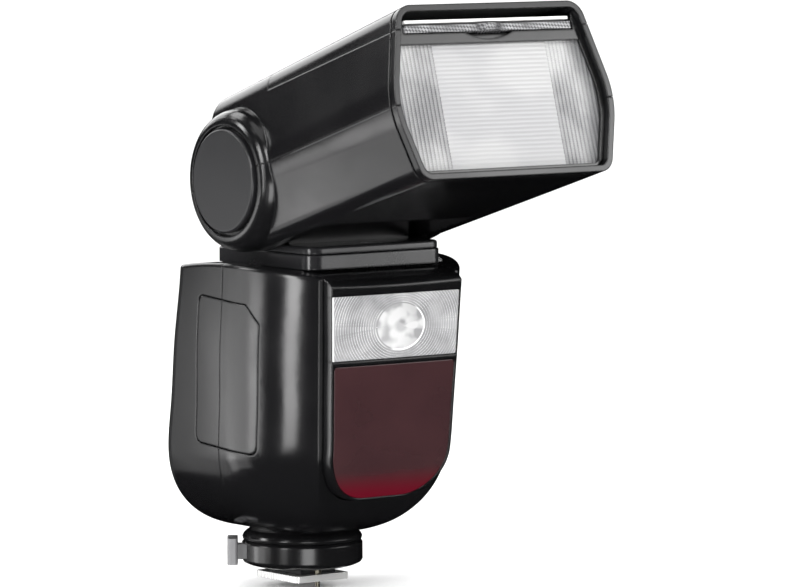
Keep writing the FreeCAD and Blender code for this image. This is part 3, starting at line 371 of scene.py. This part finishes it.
def silver_material():
    """Bright aluminised reflector, softly clouded."""
    s = Shader("aluminised")
    cloud = s.noise(70.0, 4.0)
    s.set(Base_Color=s.mix(cloud, (0.93, 0.93, 0.94), (0.82, 0.83, 0.85)))
    s.set(Metallic=0.85, Roughness=s.range(cloud, 0.3, 0.7, 0.18, 0.34))
    return s.mat


board = board_material()
silver = silver_material()
FINISHES = {
    "foot_plate": shoe_metal, "contact_block": black_matt, "foot_screws": zinc,
    "lock_collar": collar_black, "foot_neck": collar_black, "front_shell": shell_black,
    "rear_shell": shell_black, "front_bezel": gloss, "red_window": red_material(),
    "lamp_reflector": silver, "lamp_led_board": board, "main_board": board, "main_capacitor": rubber,
    "swivel_bush": nylon, "battery_bay": black_matt, "lcd_cover": gloss, "lcd_module": display,
    "user_board": board, "usb_socket": zinc, "sync_socket": zinc, "contact_pin_center": pin_metal,
    "contact_pins_small": pin_metal, "lock_pin": pin_metal, "lock_lever": lever_grey,
    "battery_case_front": shell_black, "battery_case_rear": shell_black, "battery_cells": wrap,
    "battery_release": switch_grey, "port_cover": rubber, "soft_key_1": rubber, "soft_key_2": rubber,
    "soft_key_3": rubber, "soft_key_4": rubber, "mode_button": rubber, "sync_button": rubber,
    "test_button": rubber, "select_dial": black_fine, "set_button": black_fine,
    "power_switch": black_fine, "neck_base": neck_grey, "neck_cover": neck_grey, "yoke": black,
    "head_upper_shell": black, "head_lower_shell": black, "head_top_cover": black,
    "pivot_caps": black_fine, "window_frame": gloss, "card_tray": black_matt, "zoom_rails": zinc,
    "zoom_motor": zinc, "tilt_axle": zinc, "reflector": silver, "flash_tube": tube_glass,
    "tube_boots": rubber, "zoom_carriage": black_matt, "zoom_screw": zinc,
    "wide_panel": panel_material(), "bounce_card": card_white, "fresnel_window": tube_glass,
    "lamp_lens": tube_glass,
}
for name, material in FINISHES.items():
    paint(name, material)


# ---------------------------------------------------------------- finer optical pieces
def tree_of(node):
    """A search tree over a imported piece's faces."""
    mesh = NODES[node].data
    return BVHTree.FromPolygons([v.co for v in mesh.vertices], [p.vertices for p in mesh.polygons])


def add_piece(name, verts, faces, material, body):
    """A smooth-shaded mesh that moves with a body."""
    mesh = bpy.data.meshes.new(name)
    mesh.from_pydata(verts, [], faces)
    mesh.update()
    obj = bpy.data.objects.new(name, mesh)
    bpy.context.scene.collection.objects.link(obj)
    for polygon in mesh.polygons:
        polygon.use_smooth = True
    mesh.materials.append(material)
    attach(obj, body)
    return obj


def grid_faces(columns, rows, start=0, flip=False):
    """Quads over a grid of vertices, row by row."""
    faces = []
    for j in range(rows - 1):
        for i in range(columns - 1):
            a = start + j * columns + i
            quad = (a, a + 1, a + columns + 1, a + columns)
            faces.append(quad[::-1] if flip else quad)
    return faces


def closed_sheet(front, back, columns, rows):
    """Joins a front grid and a back grid of the same size into one closed body."""
    count = columns * rows
    faces = grid_faces(columns, rows) + grid_faces(columns, rows, count, True)
    rim = [i for i in range(columns)]
    rim += [(j + 1) * columns - 1 for j in range(1, rows)]
    rim += [(rows - 1) * columns + i for i in range(columns - 2, -1, -1)]
    rim += [j * columns for j in range(rows - 2, 0, -1)]
    for a, b in zip(rim, rim[1:] + rim[:1]):
        faces.append((b, a, a + count, b + count))
    return front + back, faces


def put_values(mesh, name, values):
    """Stores one number per vertex, for a material to read."""
    mesh.attributes.new(name, "FLOAT", "POINT").data.foreach_set("value", values)


def lamp_flat(s, groove):
    """Pale acrylic round the eye, with a painted highlight on one side of each groove and painted shade
    on the other.
    """
    cloud = s.noise(150.0, 2.0)
    flat = s.mix(s.range(cloud, 0.35, 0.65, 0.0, 1.0), (0.25, 0.25, 0.255), (0.37, 0.37, 0.375))
    strength = s.range(s.noise(90.0, 1.0), 0.38, 0.60, 0.25, 1.0, smooth=True)
    # painted highlight on the side of each groove that faces the light
    bright = s.range(groove, 0.60, 0.95, 0.0, 0.8, smooth=True)
    flat = s.mix(s.math("MULTIPLY", bright, strength), flat, (0.78, 0.78, 0.79))
    # painted shade on the other side of each groove
    dark = s.range(groove, 0.22, 0.0, 0.0, 0.8)
    return s.mix(s.math("MULTIPLY", dark, strength), flat, (0.09, 0.09, 0.095))


def lamp_eye(s, radius, angle):
    """The domed eye: painted white reflections of the cup behind it with a painted bright wedge, painted
    shade towards the right, a grey hub, and a fine rim with a painted highlight on one side and painted
    shade on the other.
    """
    blotch = s.noise(230.0, 1.0)
    # painted highlight: a bright wedge near the level, on the right of the centre
    near_level = s.range(s.math("ABSOLUTE", angle), 0.10, 0.34, 1.0, 0.0, smooth=True)
    wedge = s.math("MULTIPLY", near_level, s.range(radius, 0.05, 0.4, 0.0, 1.0))
    # painted shade towards the right of the eye
    rightward = s.range(s.math("COSINE", angle), -0.2, 0.9, 0.0, 1.0)
    shade = s.math("MULTIPLY", rightward, s.range(radius, 0.25, 0.8, 0.0, 1.0))
    # painted reflections of the cup behind the eye
    streaks = s.range(blotch, 0.36, 0.62, 0.15, 1.0, smooth=True)
    white = s.math("SUBTRACT", streaks, s.math("MULTIPLY", shade, 0.55))
    white = s.math("ADD", white, wedge)
    hub = s.range(radius, 0.14, 0.34, 0.6, 0.0, smooth=True)
    white = s.math("SUBTRACT", white, hub)
    eye = s.mix(s.range(white, 0.0, 1.0, 0.0, 1.0), (0.29, 0.29, 0.295), (0.60, 0.60, 0.60))
    # the fine rim: painted highlight on one side, painted shade on the other
    inner = s.range(radius, 0.90, 0.94, 0.0, 1.0, smooth=True)
    rim = s.math("MULTIPLY", inner, s.range(radius, 0.96, 0.99, 1.0, 0.0, smooth=True))
    turned = s.math("COSINE", s.math("ADD", angle, 0.5))
    side = s.range(turned, 0.0, 0.35, 0.0, 1.0, smooth=True)
    eye = s.mix(s.math("MULTIPLY", rim, side), eye, (1.0, 1.0, 1.0))
    shaded = s.math("MULTIPLY", rim, s.math("SUBTRACT", 1.0, side))
    return s.mix(shaded, eye, (0.28, 0.28, 0.285))


def lamp_material():
    """Pale prism acrylic: grey-white grooves round a bright eye, both with painted highlights and shade,
    and a painted highlight along the left edge.
    """
    s = Shader("lamp_acrylic")
    radius = s.attribute("eye_radius")
    flat = lamp_flat(s, s.attribute("groove"))
    eye = lamp_eye(s, radius, s.attribute("eye_angle"))
    colour = s.mix(s.range(radius, 1.0, 1.02, 1.0, 0.0), flat, eye)
    # painted highlight: a pale band along the lens's left edge
    left_edge_highlight = s.range(s.attribute("to_left"), 0.45, 0.65, 1.0, 0.0)
    colour = s.mix(left_edge_highlight, colour, (0.86, 0.86, 0.86))
    s.set(Base_Color=colour, IOR=1.49, Transmission_Weight=0.12, Roughness=0.16)
    s.set(Coat_Weight=0.5, Coat_Roughness=0.05, Specular_IOR_Level=0.5)
    return s.mat


def lamp_lens_piece():
    """The lamp's window: concentric prism grooves round a domed eye with a fine rim."""
    tree = tree_of("lamp_lens")
    low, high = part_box("lamp_lens")
    columns, rows = LAMP_GRID
    eye = Vector((EYE_X, EYE_Z)) * MM
    front, back = [], []
    values = {"eye_radius": [], "groove": [], "eye_angle": [], "to_left": []}
    for j in range(rows):
        z = low.z + (high.z - low.z) * (0.004 + 0.992 * j / (rows - 1))
        mid_y = 0.5 * (low.y + high.y)
        hit = tree.ray_cast(Vector((0.1, mid_y, z)), Vector((-1, 0, 0)))[0]
        half = hit.x - 0.03 * MM if hit else high.x
        for i in range(columns):
            x = half * (2 * i / (columns - 1) - 1)
            seen = tree.ray_cast(Vector((x * 0.998, -0.1, z)), Vector((0, 1, 0)))[0]
            y = seen.y if seen else low.y
            dx, dz = x - eye.x, (z - eye.y) * EYE_RX / EYE_RZ
            r = math.hypot(dx, dz) / (EYE_RX * MM)
            phase = 0.0
            if r < 1.0:
                lift = DOME_LIFT * (1 - r * r) + DOME_STEP
            else:
                steps = (r - 1.0) * EYE_RX / GROOVE_PITCH
                phase = steps % 1.0
                lift = GROOVE_DEPTH * phase * min(1.0, steps)
            edge = min(half - abs(x), z - low.z, high.z - z) / (0.4 * MM)
            lift *= min(1.0, max(0.0, edge))
            front.append((x, y + (0.30 - 0.5 * lift) * MM, z))
            back.append((x, y + LAMP_THICK * MM, z))
            values["eye_radius"].append(r)
            values["groove"].append(phase)
            values["eye_angle"].append(math.atan2(dz, dx))
            values["to_left"].append((half + x) / MM)
    verts, faces = closed_sheet(front, back, columns, rows)
    piece = add_piece("lamp_lens_optic", verts, faces, lamp_material(), "flash_body")
    for name, row in values.items():
        put_values(piece.data, name, row * 2)
    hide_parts("lamp_lens")
    return piece


def window_material():
    """Frosted prism acrylic over a bright reflector, with painted highlight areas, painted shade in the
    valleys between the ribs and painted shade along the right edge.
    """
    s = Shader("window_acrylic")
    side = s.attribute("side")
    crease_shade = s.attribute("crease_shade")
    depth = s.attribute("to_right")
    # painted highlight: brighter areas across the middle of the window
    highlight_patches = s.noise(34.0, 1.5, s.mapped(HEAD, (1.0, 1.0, 1.7)))
    share = s.range(highlight_patches, 0.40, 0.62, 0.0, 1.0, smooth=True)
    middle = s.mix(share, (0.295, 0.295, 0.30), (0.345, 0.345, 0.345))
    # painted shade in the valleys between the level prisms, weaker under the painted highlight areas
    level_crease_shade = s.math("MULTIPLY", crease_shade, s.range(highlight_patches, 0.35, 0.65, 0.34, 0.12))
    middle = s.mix(level_crease_shade, middle, (0.19, 0.19, 0.195))
    cloud = s.noise(70.0, 3.0, s.mapped(HEAD, (1.0, 1.0, 0.6)))
    ribs = s.mix(s.range(cloud, 0.38, 0.62, 0.0, 1.0), (0.23, 0.23, 0.235), (0.44, 0.44, 0.44))
    # painted shade in the valleys between the upright ribs
    rib_crease_shade = s.math("MULTIPLY", crease_shade, s.range(cloud, 0.40, 0.66, 0.95, 0.35))
    ribs = s.mix(rib_crease_shade, ribs, (0.045, 0.045, 0.05))
    # painted shade: darker within 7 mm of the right edge of the window
    ribs = s.mix(s.range(depth, 1.0, 7.0, 0.75, 0.0, smooth=True), ribs, (0.10, 0.10, 0.105))
    s.set(Base_Color=s.mix(side, middle, ribs), IOR=1.49, Transmission_Weight=0.10, Roughness=0.2)
    s.set(Coat_Weight=0.12, Coat_Roughness=0.08)
    return s.mat


def window_piece():
    """The flash window: fine level prisms in the middle, beaded upright ribs at both sides."""
    inverse = HEAD.inverted()
    mesh = NODES["fresnel_window"].data
    local = [inverse @ v.co for v in mesh.vertices]
    tree = BVHTree.FromPolygons(local, [p.vertices for p in mesh.polygons])
    top, bottom = max(v.z for v in local), min(v.z for v in local)
    face_y, back_y = min(v.y for v in local), max(v.y for v in local)
    columns, rows = WINDOW_GRID
    front, back = [], []
    values = {"side": [], "crease_shade": [], "to_right": []}
    for j in range(rows):
        z = bottom + (top - bottom) * (0.003 + 0.994 * j / (rows - 1))
        hit = tree.ray_cast(Vector((0.1, 0.5 * (face_y + back_y), z)), Vector((-1, 0, 0)))[0]
        half = hit.x
        for i in range(columns):
            x = half * (2 * i / (columns - 1) - 1)
            side = 1.0 if abs(x) > RIB_START * MM else 0.0
            level = 0.5 + 0.5 * math.cos(2 * math.pi * z / (LEVEL_PITCH * MM))
            upright = abs(math.sin(math.pi * (abs(x) / MM - RIB_START) / RIB_PITCH))
            bead = 0.5 + 0.5 * math.cos(2 * math.pi * z / (BEAD_PITCH * MM))
            ribbed = upright * (0.55 + 0.45 * bead)
            lift = (LEVEL_DEPTH * level * (1 - side) + RIB_DEPTH * ribbed * side) * MM
            front.append(HEAD @ Vector((x, face_y + 0.1 * MM + lift, z)))
            back.append(HEAD @ Vector((x, back_y, z)))
            values["side"].append(side)
            values["crease_shade"].append(max(0.0, 1 - 2.0 * ribbed) if side else 1 - level)
            values["to_right"].append((half - x) / MM)
    verts, faces = closed_sheet(front, back, columns, rows)
    piece = add_piece("flash_window_optic", verts, faces, window_material(), "head")
    for name, row in values.items():
        put_values(piece.data, name, row * 2)
    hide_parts("fresnel_window")
    return piece


lamp_lens_piece()
window_piece()


# ---------------------------------------------------------------- studio, in metres
SWEEP_GAP, SWEEP_STEPS = 0.0002, 24
SWEEP_FRONT, SWEEP_BACK, SWEEP_HALF_W = 4.0, 0.6, 6.0
SWEEP_BEND, SWEEP_HEIGHT = 1.2, 4.0
REACH, RING_CENTRE = 0.75, (0.0, -0.01)  # the upright lights stand on a ring round the flash
OVERHEAD_REACH, OVERHEAD_TARGET = 1.1, (0, -0.03, 0.15)


def sweep_material():
    """Pale paper with a little fibre in it."""
    s = Shader("sweep_paper")
    fibre = s.noise(700.0, 3.0)
    s.set(Base_Color=s.mix(fibre, (0.90, 0.90, 0.90), (0.94, 0.94, 0.94)))
    s.set(Roughness=0.9, Specular_IOR_Level=0.0)
    return s.mat


def air():
    """Even white light for rough surfaces; glossy ones don't mirror it."""
    world = bpy.data.worlds.new("studio_air")
    bpy.context.scene.world = world
    world.use_nodes = True
    background = world.node_tree.nodes["Background"]
    background.inputs["Color"].default_value = (1, 1, 1, 1)
    background.inputs["Strength"].default_value = 1.0
    world.cycles_visibility.glossy = False


def sweep():
    """A paper sweep just under the flash: flat, then bending up into a wall behind it."""
    floor_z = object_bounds()[0][2] - SWEEP_GAP
    yaw = math.radians(VIEW_AZIMUTH)
    away, across = Vector((math.sin(yaw), math.cos(yaw), 0)), Vector((math.cos(yaw), -math.sin(yaw), 0))
    profile = [(-SWEEP_FRONT, 0.0), (SWEEP_BACK, 0.0)]
    for i in range(1, SWEEP_STEPS + 1):
        a = math.pi / 2 * i / SWEEP_STEPS
        profile.append((SWEEP_BACK + SWEEP_BEND * math.sin(a), SWEEP_BEND * (1 - math.cos(a))))
    profile.append((SWEEP_BACK + SWEEP_BEND, SWEEP_HEIGHT))
    verts = []
    for d, h in profile:
        for side in (-1, 1):
            verts.append(away * d + across * side * SWEEP_HALF_W + Vector((0, 0, floor_z + h)))
    faces = [(2 * i, 2 * i + 1, 2 * i + 3, 2 * i + 2) for i in range(len(profile) - 1)]
    mesh = bpy.data.meshes.new("studio_sweep")
    mesh.from_pydata(verts, [], faces)
    for polygon in mesh.polygons:
        polygon.use_smooth = True
    mesh.materials.append(sweep_material())
    paper = bpy.data.objects.new("studio_sweep", mesh)
    bpy.context.scene.collection.objects.link(paper)
    paper.visible_glossy = False
    paper.visible_shadow = False


def outward(azimuth, elevation):
    """A unit vector away from the flash; azimuth 0 is its front and + its -X side."""
    a, e = math.radians(azimuth), math.radians(elevation)
    return Vector((-math.sin(a) * math.cos(e), -math.cos(a) * math.cos(e), math.sin(e)))


def area_light(name, where, towards, size, radiance):
    """A rectangular light that shines one way and that the camera doesn't see."""
    data = bpy.data.lights.new(name, "AREA")
    data.shape = "RECTANGLE"
    data.size, data.size_y = size
    data.energy = radiance * math.pi * size[0] * size[1]
    lamp = bpy.data.objects.new(name, data)
    lamp.location = where
    lamp.rotation_euler = towards.to_track_quat("-Z", "Y").to_euler()
    lamp.visible_camera = False
    bpy.context.scene.collection.objects.link(lamp)


def softbox(name, azimuths, heights, radiance):
    """An upright light at REACH from the flash, between two azimuths and two heights."""
    out = outward(0.5 * (azimuths[0] + azimuths[1]), 0)
    width = 2 * REACH * math.tan(math.radians(0.5 * (azimuths[1] - azimuths[0])))
    middle = Vector((*RING_CENTRE, 0.5 * (heights[0] + heights[1])))
    area_light(name, middle + out * REACH, -out, (width, heights[1] - heights[0]), radiance)


def overhead(name, azimuth, elevation, size, radiance):
    """A light aimed down at the head from OVERHEAD_REACH."""
    out = outward(azimuth, elevation)
    area_light(name, Vector(OVERHEAD_TARGET) + out * OVERHEAD_REACH, -out, size, radiance)


def camera():
    """The camera, on the flash's -X side and a little above it."""
    a, roll = math.radians(VIEW_AZIMUTH), math.radians(VIEW_ROLL)
    out = outward(VIEW_AZIMUTH, VIEW_ELEVATION)
    right = Vector((math.cos(a), -math.sin(a), 0))
    up = out.cross(right)
    turned_right = right * math.cos(roll) + up * math.sin(roll)
    turned_up = up * math.cos(roll) - right * math.sin(roll)
    data = bpy.data.cameras.new("camera")
    data.sensor_width = SENSOR_WIDTH
    data.lens = LENS_LENGTH
    data.shift_x, data.shift_y = LENS_SHIFT
    cam = bpy.data.objects.new("camera", data)
    rotation = Matrix((turned_right, turned_up, out)).transposed().to_4x4()
    cam.matrix_world = Matrix.Translation((Vector(AIM) + out * VIEW_DISTANCE) * MM) @ rotation
    bpy.context.scene.collection.objects.link(cam)
    bpy.context.scene.camera = cam


# ---------------------------------------------------------------- lights, in metres, degrees and radiance
# the side light is a wide bank, brightest at its front end and low down; azimuths, heights, radiance
BANK = [
    ((100, 112), (-0.06, 0.035), 7.5),
    ((112, 130), (-0.10, 0.035), 3.1),
    ((112, 130), (-0.30, -0.10), 1.2),
    ((130, 141), (-0.11, -0.06), 5.4),
    ((130, 141), (-0.30, -0.11), 2.1),
    ((141, 148), (-0.11, -0.06), 0.9),
    ((141, 148), (-0.30, -0.11), 0.3),
    ((130, 146), (-0.06, 0.035), 2.9),
    ((108, 130), (0.05, 0.18), 2.0),
    ((146, 157), (-0.30, 0.035), 0.7),
    ((157, 180), (-0.30, 0.035), 0.2),
]
# the strip that lights the front corner fades out towards its foot; heights, radiance
STRIP_AZIMUTHS = (66, 78)
STRIP = [((0.0, 0.80), 11.5), ((-0.03, 0.0), 9.0), ((-0.06, -0.03), 6.0)]
UPRIGHTS = {
    "front_strip": ((14, 37), (-0.30, 0.08), 5.5),
    "ring_spot_front": ((22, 34), (0.55, 0.95), 18.0),
    "ring_spot_side": ((120, 132), (0.40, 0.75), 12.0),
    "ramp_glow": ((-60, -32), (0.15, 0.42), 3.8),
    "back_low": ((162, 206), (0.25, 0.62), 3.0),
    "back_high": ((150, 195), (0.78, 1.40), 4.0),
}
air()
sweep()
for number, (azimuths, heights, radiance) in enumerate(BANK):
    softbox("side_bank_%d" % number, azimuths, heights, radiance)
for number, (heights, radiance) in enumerate(STRIP):
    softbox("side_strip_%d" % number, STRIP_AZIMUTHS, heights, radiance)
for name, (azimuths, heights, radiance) in UPRIGHTS.items():
    softbox(name, azimuths, heights, radiance)
overhead("front_high", -38, 30, (0.7, 0.75), 2.4)
overhead("top_soft", 60, 80, (0.6, 0.6), 1.2)
camera()
bpy.context.scene.view_settings.view_transform = "Standard"
